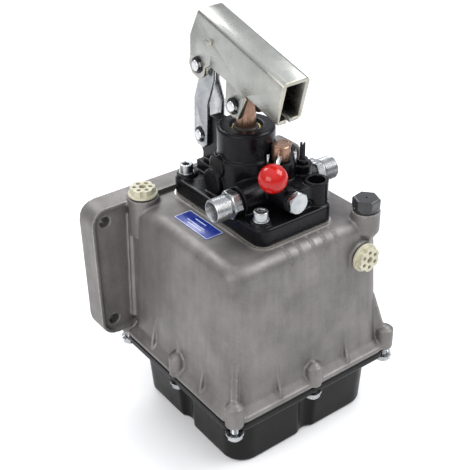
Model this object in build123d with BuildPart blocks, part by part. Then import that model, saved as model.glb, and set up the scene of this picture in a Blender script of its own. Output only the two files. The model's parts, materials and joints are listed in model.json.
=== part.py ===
"""Hydraulic hand pump: cast reservoir with a wall plate, cast pump head, linkage and lever socket.

Frame: +Z up, -Y is the front, where the lever socket opens.
The origin is the centre of the flat underside of the lower pan. Millimetres.
"""

from build123d import *
from math import asin, atan2, cos, degrees, hypot, radians, sin, sqrt
import os

# ---------------------------------------------------------------- clearances
RUN = 0.05          # radial clearance of everything that turns or slides
SEAT = 0.02         # radial clearance of a fixed piece in its hole
SIDE_GAP = 0.5      # side clearance between a link and what it straddles
PASS = 0.3          # radial clearance of a screw through a plain hole

# ------------------------------------------------------------- reservoir, pan
tank_width = 196.8          # across X, over the bottom flange
tank_depth = 190.6          # along Y, over the bottom flange
tank_height = 149.0
tank_wall = 5.0
tank_roof = 10.0
flange_lip = 7.4            # how far the flange stands out of the wall
flange_edge = 4.0           # height of the flange's upright edge
flange_height = 12.0        # where the flange's slope meets the wall
wall_draft = 6.5            # how far each wall leans in over the height
tank_corner = 18.0
roof_round = 13.0
flange_corner = 20.0

pan_height = 67.0
pan_wall = 4.0
pan_flange = 8.0
pan_inset = 12.0            # pan wall inside the flange edge
pan_draft = 3.0
pan_corner = 22.0
notch_radius = 13.0
pan_gasket_thick = 1.0
gasket_inset = 8.0          # how far the gasket reaches inside the tank's wall

pan_screw = 8.0             # thread diameter
pan_screw_x = 92.1
pan_screw_y = 89.8
pan_boss_radius = 8.5
pan_boss_height = 24.0
washer_thick = 1.5
washer_radius = 8.5
pan_head_height = 5.3
pan_head_flats = 13.0

rib_spacing = 41.0
rib_height = 54.0
rib_thick = 3.0
corner_rib_height = 60.0
corner_rib_thick = 6.0
groove_offsets = (-22.5, -9.5, 5.0, 18.5, 31.0)     # across the roof's front edge
groove_width = 3.0
groove_cut = 1.2
bead_radius = 2.2           # cast bead where an ear of the wall plate meets the wall

# ----------------------------------------------------------------- wall plate
plate_width = 252.0
plate_front = 80.0          # Y of the raised front rim
plate_thick = 25.0
plate_low = 9.0             # bottom edge above the reservoir's base
plate_above_roof = 2.0
plate_corner = 16.0
plate_recess = 3.0
plate_rim = 3.5
wall_hole = 11.0
wall_hole_inset_x = 15.0
wall_hole_inset_z = 15.5

# ------------------------------------------------------------- pad, pump base
pad_raise = 1.0
pad_margin = 1.5
body_gasket_thick = 0.8
base_width = 84.6
base_length = 138.0
base_y = 4.6
base_thick = 17.0
base_corner = 12.0
bolt_spacing_x = 62.2
bolt_spacing_y = 113.0
bolt_y = 5.8
bolt_thread = 8.0
bolt_head_radius = 6.5
bolt_head_height = 8.0
bolt_length = 32.0
bolt_boss = 9.5
bolt_boss_raise = 2.6
bolt_washer_thick = 1.5
bolt_washer_radius = 7.3
tower_radius = 11.0
tower_top = 39.0            # above the pump base's underside

# ---------------------------------------------------- cylinder, rod and piston
rod_y = 10.0
head_height = 79.5          # pump base underside to the cylinder's top
shoulder_height = 53.0
cylinder_radius = 26.5
shoulder_radius = 29.0
spigot_radius = 25.0
spigot_depth = 12.0
bore_radius = 16.0
bore_floor = 5.0            # bore's end below the pump base's underside
gland_radius = 13.0
gland_length = 17.0
recess_radius = 14.6
recess_depth = 2.5
rod_radius = 9.0
rod_top = 11.0              # above the rod pin
piston_height = 16.0
piston_lift = 3.5           # piston's rest height above the bore's end
seal_section = 3.2

# -------------------------------------------------------------------- linkage
pin_radius = 5.0
rod_pin_height = 20.5       # above the cylinder's top at rest
link_pin_y = 67.5
link_pin_drop = 28.5        # lower link pin below the cylinder's top
link_length = 70.85
link_width = 21.0
link_thick = 3.5
link_end = 12.5             # end of a link past its pin
link_gap = 1.0              # between the two links inside the socket
link_spread = (36.0, 14.0)  # the crank starts and ends this far below the upper pin
spacer_radius = 8.0
bracket_half = 6.15
bracket_hole = 8.3          # oversize: this pivot is the open one
bracket_boss = 11.5
circlip_thick = 1.0
circlip_radius = 7.4
groove_depth = 0.5
pin_overhang = 2.2

# ---------------------------------------------------------------- lever socket
socket_width = 28.0
socket_wall = 4.0
socket_round = 5.0
socket_front = 55.0
socket_top = 59.0
socket_bottom = 16.0
socket_back = 73.0
lip_start = 15.0
seam_gap = 3.0
arm_back = 56.6             # rod pin to upper link pin, along the socket
arm_up = 6.6

# ---------------------------------------------------------------- ports, valves
port_y = -20.0
port_height = 24.5          # above the pump base's underside
port_barrel = 15.0
port_left = -34.0
port_right = 50.0
gallery_radius = 3.5
stud_radius = 9.0
stud_length = 10.0
adapter_hex = 24.0
adapter_hex_length = 8.0
adapter_thread = 11.0       # radius, M22 x 1.5
adapter_thread_length = 17.0
adapter_bore = 5.5          # radius
cone_depth = 8.0            # sealing cone in the adapter's mouth
cone_mouth = 9.0
ring_thick = 2.0

release_x = 13.5
release_y = -22.5
release_barrel = 13.0
cap_radius = 8.4
cap_height = 14.0
spool_radius = 5.0
spool_depth = 20.0
release_reach = 41.5
release_droop = 6.5
release_angle = 221.5       # from +X, seen from above
release_rod_radius = 2.6
knob_radius = 12.9
stop_pin_radius = 1.5
stop_pin_reach = 12.3
stop_pin_height = 7.0
release_low = -38.0         # travel of the release lever, degrees
release_high = 80.0

check_x = 31.0
check_y = -5.0
check_barrel = 11.5
check_height = 53.0
check_floor = 28.0          # valve seat above the pump base's underside
check_plug_radius = 7.6
check_plug_height = 4.5
check_stem = 6.0
check_stem_radius = 6.0
relief_x = 33.0
relief_y = -29.0
relief_barrel = 9.0
relief_height = 46.5
relief_floor = 22.0
relief_stud_radius = 2.5
relief_stud_above = 19.0
locknut_flats = 10.0
locknut_height = 4.0
valve_ball = 4.0
valve_bore = 4.6
valve_drill = 1.8           # radius of the drilled way a ball closes
spring_wire = 0.45
spring_radius = 3.2

suction_x = 0.0
suction_height = 30.5
suction_face = -58.0
suction_floor = -34.0
suction_barrel = 11.0
plug_hex = 19.0
plug_head_height = 5.0
plug_stud_length = 9.0
plug_stud_radius = 7.0
set_screw_x = 18.5
set_screw_radius = 3.0
set_screw_length = 8.0

tube_y = -27.0
tube_radius = 6.0
tube_wall = 1.2
tube_grip = 9.0
strainer_radius = 14.0
strainer_height = 22.0
strainer_wall = 1.5
strainer_clear = 5.0        # above the pan's floor

# ---------------------------------------------------------- plugs on the tank
filler_x = -73.0
filler_y = 74.0
filler_boss = 15.0
boss_raise = 6.0
filler_radius = 14.0
breather_x = 69.0
breather_y = -76.0
breather_boss = 13.5
breather_raise = 8.0
breather_hex = 22.5
breather_height = 11.0
breather_stem = 8.0
breather_stem_length = 12.0
plug_seal = 1.5
sight_x = 60.0
sight_height = 115.0
sight_radius = 13.0

label_size = (51.0, 18.5)
label_thick = 0.6
label_x = -57.8
label_y = 6.0

# ------------------------------------------------------------- derived heights
tank_z = pan_height + pan_gasket_thick
roof_z = tank_z + tank_height
pad_z = roof_z + pad_raise
body_z = pad_z + body_gasket_thick
base_top = body_z + base_thick
shoulder_z = body_z + shoulder_height
head_z = body_z + head_height
rod_pin_z = head_z + rod_pin_height
link_pin_z = head_z - link_pin_drop
port_z = body_z + port_height
bore_low = body_z - bore_floor
gland_low = head_z - recess_depth - gland_length
bottom_x = tank_width / 2 - flange_lip
bottom_y = tank_depth / 2 - flange_lip
wall_lean = wall_draft / tank_height
plate_top = roof_z + plate_above_roof
plate_base = tank_z + plate_low
plate_back = plate_front + plate_thick

# The linkage closes where a circle about each lower pivot meets: the arm from
# the rod pin, and the link from its pin in the bracket.
arm_length = hypot(arm_back, arm_up)
pivot_dy = link_pin_y - rod_y
pivot_dz = link_pin_z - rod_pin_z
pivot_gap = hypot(pivot_dy, pivot_dz)
pivot_share = (arm_length**2 - link_length**2 + pivot_gap**2) / (2 * pivot_gap)
pivot_side = sqrt(arm_length**2 - pivot_share**2)
upper_pin_y = rod_y + (pivot_share * pivot_dy - pivot_side * pivot_dz) / pivot_gap
upper_pin_z = rod_pin_z + (pivot_share * pivot_dz + pivot_side * pivot_dy) / pivot_gap
arm_tilt = atan2(upper_pin_z - rod_pin_z, upper_pin_y - rod_y)
socket_tilt = arm_tilt - atan2(arm_up, arm_back)

ALONG = (0, -cos(socket_tilt), -sin(socket_tilt))
rod_pin_point = (0, rod_y, rod_pin_z)
socket_side = Plane(origin=rod_pin_point, x_dir=ALONG, z_dir=(-1, 0, 0))
socket_section = Plane(origin=rod_pin_point, x_dir=(1, 0, 0), z_dir=ALONG)

link_y = (upper_pin_y - link_pin_y) / link_length
link_z = (upper_pin_z - link_pin_z) / link_length
link_point = (0, link_pin_y, link_pin_z)
link_side = Plane(origin=link_point, x_dir=(0, -link_z, link_y), z_dir=(-1, 0, 0))
link_edge = Plane(origin=link_point, x_dir=(1, 0, 0), z_dir=(0, -link_z, link_y))

ACROSS = (0, 90, 0)          # turns a cylinder's axis from Z to X
FRONTWARD = (90, 0, 0)       # turns a cylinder's axis from Z to Y
LOW = (Align.CENTER, Align.CENTER, Align.MIN)
HIGH = (Align.CENTER, Align.CENTER, Align.MAX)

finished = []


def keep(piece, name):
    """Label a finished piece and remember it for export."""
    piece.part.label = name
    finished.append(piece.part)


def wall_x(height):
    """Half width of the reservoir's outside at a height above its base."""
    return bottom_x - wall_lean * height


def wall_y(height):
    """Half depth of the reservoir's outside at a height above its base."""
    return bottom_y - wall_lean * height


def cylinder_across(x0, x1, y, z, radius, mode=Mode.ADD):
    """Cylinder along X from x0 to x1, in the part being built."""
    with Locations(((x0 + x1) / 2, y, z)):
        Cylinder(radius, abs(x1 - x0), rotation=ACROSS, mode=mode)


def cylinder_deep(y0, y1, x, z, radius, mode=Mode.ADD):
    """Cylinder along Y from y0 to y1, in the part being built."""
    with Locations((x, (y0 + y1) / 2, z)):
        Cylinder(radius, abs(y1 - y0), rotation=FRONTWARD, mode=mode)


def cylinder_up(z0, z1, x, y, radius, mode=Mode.ADD):
    """Cylinder along Z from z0 to z1, in the part being built."""
    with Locations((x, y, (z0 + z1) / 2)):
        Cylinder(radius, z1 - z0, mode=mode)


# =================================================================== reservoir
screw_spots = [
    (sx * pan_screw_x, sy * pan_screw_y)
    for sx in (-1, 0, 1)
    for sy in (-1, 0, 1)
    if (sx, sy) != (0, 0)
]


def rib_on_side(sign, y):
    """Triangular gusset on the left (-1) or right (+1) wall."""
    with BuildSketch(Plane.XZ.offset(-y)) as gusset:
        with BuildLine():
            Polyline(
                (sign * (wall_x(rib_height) - 2), tank_z + rib_height),
                (sign * (tank_width / 2 - 1.5), tank_z + flange_edge),
                (sign * (wall_x(0) - tank_wall + 1), tank_z + flange_edge),
                close=True,
            )
        make_face()
    extrude(gusset.sketch, amount=rib_thick / 2, both=True)


def rib_on_front(sign, x):
    """Triangular gusset on the front (-1) or back (+1) wall."""
    with BuildSketch(Plane.YZ.offset(x)) as gusset:
        with BuildLine():
            Polyline(
                (sign * (wall_y(rib_height) - 2), tank_z + rib_height),
                (sign * (tank_depth / 2 - 1.5), tank_z + flange_edge),
                (sign * (wall_y(0) - tank_wall + 1), tank_z + flange_edge),
                close=True,
            )
        make_face()
    extrude(gusset.sketch, amount=rib_thick / 2, both=True)


def rib_on_corner(side, end):
    """Upright gusset that runs from a corner screw boss up the rounded corner."""
    corner_x = side * (wall_x(0) - tank_corner)
    corner_y = end * (wall_y(0) - tank_corner)
    upright = Plane(origin=(corner_x, corner_y, tank_z), x_dir=(side, end, 0), z_dir=(end, -side, 0))
    reach = hypot(pan_screw_x - abs(corner_x), pan_screw_y - abs(corner_y))
    with BuildSketch(upright) as gusset:
        with BuildLine():
            Polyline(
                (0, flange_edge),
                (reach, flange_edge),
                (reach, pan_boss_height - 4),
                (tank_corner - 3, corner_rib_height),
                (0, corner_rib_height),
                close=True,
            )
        make_face()
    extrude(gusset.sketch, amount=corner_rib_thick / 2, both=True)


with BuildPart() as tank:
    # Walls lean in from the base to the roof, and the roof's edges are rounded.
    with BuildSketch(Plane.XY.offset(tank_z)):
        RectangleRounded(2 * bottom_x, 2 * bottom_y, tank_corner)
    with BuildSketch(Plane.XY.offset(roof_z)):
        RectangleRounded(2 * wall_x(tank_height), 2 * wall_y(tank_height), tank_corner)
    loft()
    fillet(tank.faces().sort_by(Axis.Z)[-1].edges(), roof_round)
    # Flange: an upright edge with a slope up to the wall.
    with BuildSketch(Plane.XY.offset(tank_z)):
        RectangleRounded(tank_width, tank_depth, flange_corner)
    extrude(amount=flange_edge)
    with BuildSketch(Plane.XY.offset(tank_z + flange_edge)):
        RectangleRounded(tank_width - 2, tank_depth - 2, flange_corner - 1)
    with BuildSketch(Plane.XY.offset(tank_z + flange_height)):
        RectangleRounded(2 * wall_x(flange_height), 2 * wall_y(flange_height), tank_corner)
    loft()
    # Screw bosses with domed tops, one at each corner and mid side.
    for boss_x, boss_y in screw_spots:
        cylinder_up(tank_z, tank_z + pan_boss_height - 3, boss_x, boss_y, pan_boss_radius)
        with Locations((boss_x, boss_y, tank_z + pan_boss_height - 3)):
            Sphere(pan_boss_radius, arc_size1=0)
    # Gussets beside the mid-side bosses and above them.
    for side in (-1, 1):
        for step in (-1, 0, 1):
            rib_on_side(side, step * rib_spacing)
            rib_on_front(side, step * rib_spacing)
        for end in (-1, 1):
            rib_on_corner(side, end)
    # Raised machined pad under the pump head.
    with BuildSketch(Plane.XY.offset(roof_z - 2)):
        with Locations((0, base_y)):
            RectangleRounded(
                base_width + 2 * pad_margin,
                base_length + 2 * pad_margin,
                base_corner + pad_margin,
            )
    extrude(amount=pad_raise + 2)
    # Filler and breather bosses.
    cylinder_up(roof_z - 34, roof_z + boss_raise, filler_x, filler_y, filler_boss)
    cylinder_up(roof_z - 12, roof_z + breather_raise, breather_x, breather_y, breather_boss)
    with Locations((breather_x, breather_y, roof_z - 12)):
        Cone(4, breather_boss, 16, align=HIGH)
    # Spot-faced boss of the level plug on the front wall.
    sight_z = tank_z + sight_height
    sight_face = -wall_y(sight_height) - 2
    cylinder_deep(sight_face, sight_face + 12, sight_x, sight_z, sight_radius + 1)
    # Wall plate across the back, with ears on both sides.
    plate_height = plate_top - plate_base
    plate_mid = (plate_top + plate_base) / 2
    with BuildSketch(Plane.XZ.offset(-plate_back)):
        with Locations((0, plate_mid)):
            RectangleRounded(plate_width, plate_height, plate_corner)
    extrude(amount=plate_thick)
    # The ears' front faces are recessed inside a narrow rim.
    ear_inner = wall_x(tank_height) - 4
    ear_outer = plate_width / 2 - plate_rim
    for side in (-1, 1):
        with BuildSketch(Plane.XZ.offset(-plate_front - plate_recess)):
            with Locations((side * (ear_inner + ear_outer) / 2, plate_mid)):
                RectangleRounded(
                    ear_outer - ear_inner,
                    plate_height - 2 * plate_rim,
                    plate_corner - plate_rim,
                )
            with Locations((side * (ear_inner - 2), plate_mid)):
                Rectangle(2 * (ear_inner - wall_x(0) + 12), plate_height, mode=Mode.SUBTRACT)
        extrude(amount=plate_recess + 1, mode=Mode.SUBTRACT)
    # Beads down the ears' joints with the side walls, backed by solid metal.
    for side in (-1, 1):
        bead_path = Plane(
            origin=(side * wall_x(0), plate_front, tank_z),
            x_dir=(0, 1, 0),
            z_dir=(-side * wall_lean, 0, 1),
        )
        with BuildSketch(bead_path.offset(plate_low + 12)):
            Circle(bead_radius)
            with Locations((-6, side * 7.5)):
                Rectangle(16, 14)
        extrude(amount=tank_height - plate_low - 24)
    # Shallow grooves over the roof's front edge.
    edge_y = roof_round - wall_y(tank_height)
    edge_z = roof_z - roof_round
    for groove_x in groove_offsets:
        with BuildSketch(Plane.YZ.offset(groove_x - groove_width / 2)):
            with Locations((edge_y - roof_round, edge_z + roof_round)):
                Rectangle(2 * roof_round, 2 * roof_round)
            with Locations((edge_y + groove_cut, edge_z - groove_cut)):
                Circle(roof_round + groove_cut * (sqrt(2) - 1), mode=Mode.SUBTRACT)
        extrude(amount=groove_width, mode=Mode.SUBTRACT)
    # Hollow inside, open at the bottom.
    with BuildSketch(Plane.XY.offset(tank_z)):
        RectangleRounded(
            2 * (bottom_x - tank_wall),
            2 * (bottom_y - tank_wall),
            tank_corner - tank_wall,
        )
    with BuildSketch(Plane.XY.offset(roof_z - tank_roof)):
        RectangleRounded(
            2 * (wall_x(tank_height) - tank_wall),
            2 * (wall_y(tank_height) - tank_wall),
            tank_corner - tank_wall,
        )
    loft(mode=Mode.SUBTRACT)
    # Opening under the pump head.
    with BuildSketch(Plane.XY.offset(roof_z - tank_roof - 1)):
        with Locations((0, 2)):
            RectangleRounded(2 * spigot_radius + 6, 80, 8)
    extrude(amount=tank_roof + pad_raise + 2, mode=Mode.SUBTRACT)
    # Blind threaded holes for the pump bolts and the pan screws.
    with Locations((0, bolt_y, 0)):
        with GridLocations(bolt_spacing_x, bolt_spacing_y, 2, 2):
            with Locations((0, 0, pad_z)):
                Cylinder(bolt_thread / 2 + SEAT, 2 * (tank_roof + pad_raise), mode=Mode.SUBTRACT)
    for boss_x, boss_y in screw_spots:
        cylinder_up(tank_z - 1, tank_z + 17, boss_x, boss_y, pan_screw / 2 + SEAT, Mode.SUBTRACT)
    # Filler, breather and sight holes.
    plug_hole = breather_stem + SEAT
    cylinder_up(roof_z - 20, roof_z + boss_raise + 1, filler_x, filler_y, plug_hole, Mode.SUBTRACT)
    breather_top = roof_z + breather_raise
    cylinder_up(roof_z - 11, breather_top + 1, breather_x, breather_y, breather_stem + RUN, Mode.SUBTRACT)
    cylinder_deep(sight_face - 1, sight_face + 14, sight_x, sight_z, plug_hole, Mode.SUBTRACT)
    # Wall holes.
    wall_hole_x = plate_width / 2 - wall_hole_inset_x
    wall_hole_span = plate_height - 2 * wall_hole_inset_z
    for side in (-1, 1):
        for end in (-1, 1):
            cylinder_deep(
                plate_front - 1,
                plate_back + 1,
                side * wall_hole_x,
                plate_mid + end * wall_hole_span / 2,
                wall_hole / 2,
                Mode.SUBTRACT,
            )
keep(tank, "tank")


# ================================================================== lower pan
pan_x = tank_width / 2 - pan_inset
pan_y = tank_depth / 2 - pan_inset
notch_spots = [(pan_screw_x, 0), (-pan_screw_x, 0), (0, pan_screw_y), (0, -pan_screw_y)]


def on_notch(vertex, notch):
    """Whether a vertex is where a mid-side notch cuts the pan's wall."""
    gaps = [abs(hypot(vertex.X - x, vertex.Y - y) - notch) for x, y in notch_spots]
    return min(gaps) < 0.01


def pan_outline(height, shrink, notch, corner):
    """Rounded rectangle of the pan's wall with a soft-edged notch at each mid side."""
    with BuildSketch(Plane.XY.offset(height)) as outline:
        RectangleRounded(2 * (pan_x - shrink), 2 * (pan_y - shrink), corner)
        with Locations(*notch_spots):
            Circle(notch, mode=Mode.SUBTRACT)
        fillet(outline.vertices().filter_by(lambda vertex: on_notch(vertex, notch)), 4)
    return outline.sketch


pan_seat = pan_height - pan_flange
screw_pass = pan_screw / 2 + PASS

with BuildPart() as lower_pan:
    loft(
        [
            pan_outline(0, pan_draft, notch_radius, pan_corner),
            pan_outline(pan_height - 1, 0, notch_radius, pan_corner),
        ]
    )
    fillet(lower_pan.faces().sort_by(Axis.Z)[0].edges(), 4)
    with BuildSketch(Plane.XY.offset(pan_seat)):
        RectangleRounded(tank_width, tank_depth, flange_corner)
    extrude(amount=pan_flange)
    # Hollow, open at the top.
    inner_notch = notch_radius + pan_wall
    inner_corner = pan_corner - pan_wall
    loft(
        [
            pan_outline(pan_wall + 1, pan_draft + pan_wall, inner_notch, inner_corner),
            pan_outline(pan_height + 1, pan_wall, inner_notch, inner_corner),
        ],
        mode=Mode.SUBTRACT,
    )
    for boss_x, boss_y in screw_spots:
        cylinder_up(pan_seat - 1, pan_height + 1, boss_x, boss_y, screw_pass, Mode.SUBTRACT)
keep(lower_pan, "lower_pan")

with BuildPart() as pan_gasket:
    with BuildSketch(Plane.XY.offset(pan_height)):
        RectangleRounded(tank_width - 2, tank_depth - 2, flange_corner - 1)
        RectangleRounded(
            2 * (bottom_x - tank_wall - gasket_inset),
            2 * (bottom_y - tank_wall - gasket_inset),
            tank_corner - tank_wall,
            mode=Mode.SUBTRACT,
        )
        with Locations(*screw_spots):
            Circle(screw_pass, mode=Mode.SUBTRACT)
    extrude(amount=pan_gasket_thick)
keep(pan_gasket, "pan_gasket")

with BuildPart() as pan_washers:
    with BuildSketch(Plane.XY.offset(pan_seat - washer_thick)):
        with Locations(*screw_spots):
            Circle(washer_radius)
            Circle(screw_pass, mode=Mode.SUBTRACT)
    extrude(amount=washer_thick)
keep(pan_washers, "pan_washers")

with BuildPart() as pan_screws:
    head_low = pan_seat - washer_thick - pan_head_height
    with BuildSketch(Plane.XY.offset(head_low)):
        with Locations(*screw_spots):
            RegularPolygon(pan_head_flats / 2, 6, major_radius=False)
    extrude(amount=pan_head_height)
    with BuildSketch(Plane.XY.offset(head_low + pan_head_height)):
        with Locations(*screw_spots):
            Circle(pan_screw / 2)
    extrude(amount=washer_thick + pan_flange + pan_gasket_thick + 15)
keep(pan_screws, "pan_screws")

# ================================================================== pump head
with BuildPart() as body_gasket:
    with BuildSketch(Plane.XY.offset(pad_z)):
        with Locations((0, base_y)):
            RectangleRounded(base_width, base_length, base_corner)
        with Locations((0, 2)):
            RectangleRounded(2 * spigot_radius + 6, 80, 8, mode=Mode.SUBTRACT)
        with Locations((0, bolt_y)):
            with GridLocations(bolt_spacing_x, bolt_spacing_y, 2, 2):
                Circle(bolt_thread / 2 + 0.5, mode=Mode.SUBTRACT)
    extrude(amount=body_gasket_thick)
keep(body_gasket, "body_gasket")

# The release lever stops where its rod meets one of two pins.
stop_margin = degrees(asin((release_rod_radius + stop_pin_radius + 0.15) / stop_pin_reach))
stop_angles = (
    release_angle + release_low - stop_margin,
    release_angle + release_high + stop_margin,
)
web_face = suction_face + 2
set_screw_z = body_z + 21.5

bolt_seat = base_top + bolt_boss_raise
front_right = (bolt_spacing_x / 2, bolt_y - bolt_spacing_y / 2)

with BuildPart() as pump_body:
    with BuildSketch(Plane.XY.offset(body_z)):
        with Locations((0, base_y)):
            RectangleRounded(base_width, base_length, base_corner)
    extrude(amount=base_thick)
    fillet(pump_body.faces().sort_by(Axis.Z)[-1].edges(), 2)
    # Bolt bosses, and the taller tower round the front right bolt.
    with Locations((0, bolt_y, body_z + 1)):
        with GridLocations(bolt_spacing_x, bolt_spacing_y, 2, 2):
            Cylinder(bolt_boss, base_thick + bolt_boss_raise - 1, align=LOW)
    cylinder_up(body_z + 1, body_z + tower_top, *front_right, tower_radius)
    # Cylinder with its wider shoulder, and a spigot into the reservoir.
    cylinder_up(base_top - 5, shoulder_z, 0, rod_y, shoulder_radius)
    fillet(pump_body.faces().sort_by(Axis.Z)[-1].edges(), 1.8)
    cylinder_up(body_z - spigot_depth, head_z, 0, rod_y, cylinder_radius)
    chamfer(pump_body.faces().sort_by(Axis.Z)[-1].edges(), 2)
    cylinder_up(body_z - spigot_depth, body_z, 0, rod_y, cylinder_radius + 5, Mode.SUBTRACT)
    cylinder_up(body_z - spigot_depth, body_z + 1, 0, rod_y, spigot_radius)
    # Port barrel across the front of the cylinder.
    cylinder_across(port_left, port_right, port_y, port_z, port_barrel)
    # Valve barrels standing on it.
    cylinder_up(base_top - 5, shoulder_z, release_x, release_y, release_barrel)
    cylinder_up(base_top - 5, body_z + check_height, check_x, check_y, check_barrel)
    cylinder_up(base_top - 5, body_z + relief_height, relief_x, relief_y, relief_barrel)
    with Locations(((release_x + check_x) / 2, (release_y + check_y) / 2 + 4, base_top - 5)):
        Box(22, 26, shoulder_height - base_thick + 5, align=LOW)
    # Suction valve barrel, which opens forward, and the web beside it.
    suction_z = body_z + suction_height
    cylinder_deep(suction_face, 0, suction_x, suction_z, suction_barrel)
    with Locations((set_screw_x, web_face, base_top - 5)):
        Box(24, 26, 25, align=(Align.CENTER, Align.MIN, Align.MIN))
    # Two blind barrels on the left of the cylinder.
    cylinder_across(-31, 0, rod_y + 5, body_z + 45, 10.5)
    cylinder_across(-33.5, 0, rod_y + 9, body_z + 28, 12.5)
    # Bracket behind the cylinder for the lower link pin, on a wider foot.
    bracket_top = head_z - 7
    with BuildSketch(Plane.YZ) as bracket:
        with BuildLine():
            Polyline(
                (rod_y + 10, bracket_top),
                (link_pin_y - 10, bracket_top),
                (link_pin_y + bracket_boss, link_pin_z + 4),
                (link_pin_y + bracket_boss, link_pin_z - 5),
                (link_pin_y + 3.5, link_pin_z - 20),
                (link_pin_y + 3.5, base_top - 2),
                (rod_y + 10, base_top - 2),
                close=True,
            )
        make_face()
        fillet(bracket.vertices().group_by(Axis.X)[-1], 4)
    extrude(amount=bracket_half, both=True)
    with Locations((0, link_pin_y - 13, base_top - 5)):
        Box(30, 30, 14, align=LOW)
    # Bore, gland seat and top recess.
    cylinder_up(bore_low, gland_low + 0.01, 0, rod_y, bore_radius, Mode.SUBTRACT)
    cylinder_up(gland_low, head_z, 0, rod_y, gland_radius + SEAT, Mode.SUBTRACT)
    cylinder_up(head_z - recess_depth, head_z + 1, 0, rod_y, recess_radius, Mode.SUBTRACT)
    # Oversize hole of the lower link pin.
    bracket_past = bracket_half + 1
    cylinder_across(-bracket_past, bracket_past, link_pin_y, link_pin_z, bracket_hole, Mode.SUBTRACT)
    # Bolt holes, and the counterbore down the tower.
    with Locations((0, bolt_y, body_z)):
        with GridLocations(bolt_spacing_x, bolt_spacing_y, 2, 2):
            Cylinder(bolt_thread / 2 + 0.5, 60, mode=Mode.SUBTRACT)
            with Locations((0, 0, base_thick + bolt_boss_raise)):
                Cylinder(bolt_washer_radius + 0.4, 60, align=LOW, mode=Mode.SUBTRACT)
    # Spot face that lets the left adapter's hexagon sit low over the base.
    cylinder_across(port_left, -base_width / 2 - 1, port_y, port_z, adapter_hex * 0.6, Mode.SUBTRACT)
    # Port gallery with a threaded seat at each end.
    cylinder_across(port_left - 1, port_right + 1, port_y, port_z, gallery_radius, Mode.SUBTRACT)
    stud_seat = stud_radius + SEAT
    cylinder_across(port_left - 1, port_left + stud_length + 1, port_y, port_z, stud_seat, Mode.SUBTRACT)
    cylinder_across(port_right + 1, port_right - stud_length - 1, port_y, port_z, stud_seat, Mode.SUBTRACT)
    # Release valve's bore, and its way down to the gallery.
    spool_end = shoulder_z - spool_depth
    cylinder_up(spool_end - 1, shoulder_z + 1, release_x, release_y, spool_radius + RUN, Mode.SUBTRACT)
    cylinder_up(port_z, spool_end, release_x, release_y, valve_drill, Mode.SUBTRACT)
    for angle in stop_angles:
        pin_x = release_x + stop_pin_reach * cos(radians(angle))
        pin_y = release_y + stop_pin_reach * sin(radians(angle))
        cylinder_up(shoulder_z - 4, shoulder_z + 1, pin_x, pin_y, stop_pin_radius + SEAT, Mode.SUBTRACT)
    # Delivery valve: a seat, its chamber and the plug's thread.
    check_top = body_z + check_height
    check_seat = body_z + check_floor
    cylinder_up(check_seat, check_top + 1, check_x, check_y, valve_bore, Mode.SUBTRACT)
    stem_hole = check_stem_radius + SEAT
    cylinder_up(check_top - check_stem, check_top + 1, check_x, check_y, stem_hole, Mode.SUBTRACT)
    cylinder_up(port_z, check_seat + 1, check_x, check_y, valve_drill, Mode.SUBTRACT)
    cylinder_deep(port_y, check_y, check_x, port_z, valve_drill, Mode.SUBTRACT)
    # Relief valve, fed from the gallery by three drillings.
    relief_top = body_z + relief_height
    relief_seat = body_z + relief_floor
    feed_z = relief_seat - 5
    cylinder_up(relief_seat, relief_top + 1, relief_x, relief_y, valve_bore, Mode.SUBTRACT)
    cylinder_up(feed_z, relief_seat + 1, relief_x, relief_y, valve_drill, Mode.SUBTRACT)
    cylinder_deep(relief_y, port_y, relief_x, feed_z, valve_drill, Mode.SUBTRACT)
    cylinder_up(feed_z, port_z, relief_x, port_y, valve_drill, Mode.SUBTRACT)
    # Suction valve, lying behind its plug, with the way to the suction tube.
    cylinder_deep(suction_face - 1, suction_floor, suction_x, suction_z, valve_bore, Mode.SUBTRACT)
    cylinder_deep(
        suction_face - 1,
        suction_face + plug_stud_length,
        suction_x,
        suction_z,
        plug_stud_radius + SEAT,
        Mode.SUBTRACT,
    )
    cylinder_deep(suction_floor - 1, tube_y, suction_x, suction_z, valve_drill, Mode.SUBTRACT)
    cylinder_up(body_z, suction_z, suction_x, tube_y, 3, Mode.SUBTRACT)
    cylinder_up(body_z - 1, body_z + tube_grip, suction_x, tube_y, tube_radius + SEAT, Mode.SUBTRACT)
    # Threaded hole of the set screw in the web.
    screw_end = web_face + set_screw_length + 2
    screw_hole = set_screw_radius + SEAT
    cylinder_deep(web_face - 1, screw_end, set_screw_x, set_screw_z, screw_hole, Mode.SUBTRACT)
keep(pump_body, "pump_body")

# ============================================================ rod and cylinder
gland_top = head_z - recess_depth
wiper_height = 4.0
with BuildPart() as rod_gland:
    cylinder_up(gland_low, gland_top, 0, rod_y, gland_radius)
    cylinder_up(gland_low - 1, gland_top + 1, 0, rod_y, rod_radius + RUN, Mode.SUBTRACT)
    cylinder_up(gland_top - wiper_height, gland_top + 1, 0, rod_y, rod_radius + 2.5, Mode.SUBTRACT)
keep(rod_gland, "rod_gland")

with BuildPart() as rod_wiper:
    cylinder_up(gland_top - wiper_height, gland_top + 1.5, 0, rod_y, rod_radius + 2.5)
    chamfer(rod_wiper.faces().sort_by(Axis.Z)[-1].edges(), 0.8)
    cylinder_up(gland_top - wiper_height - 1, gland_top + 2, 0, rod_y, rod_radius + RUN, Mode.SUBTRACT)
keep(rod_wiper, "rod_wiper")

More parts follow.
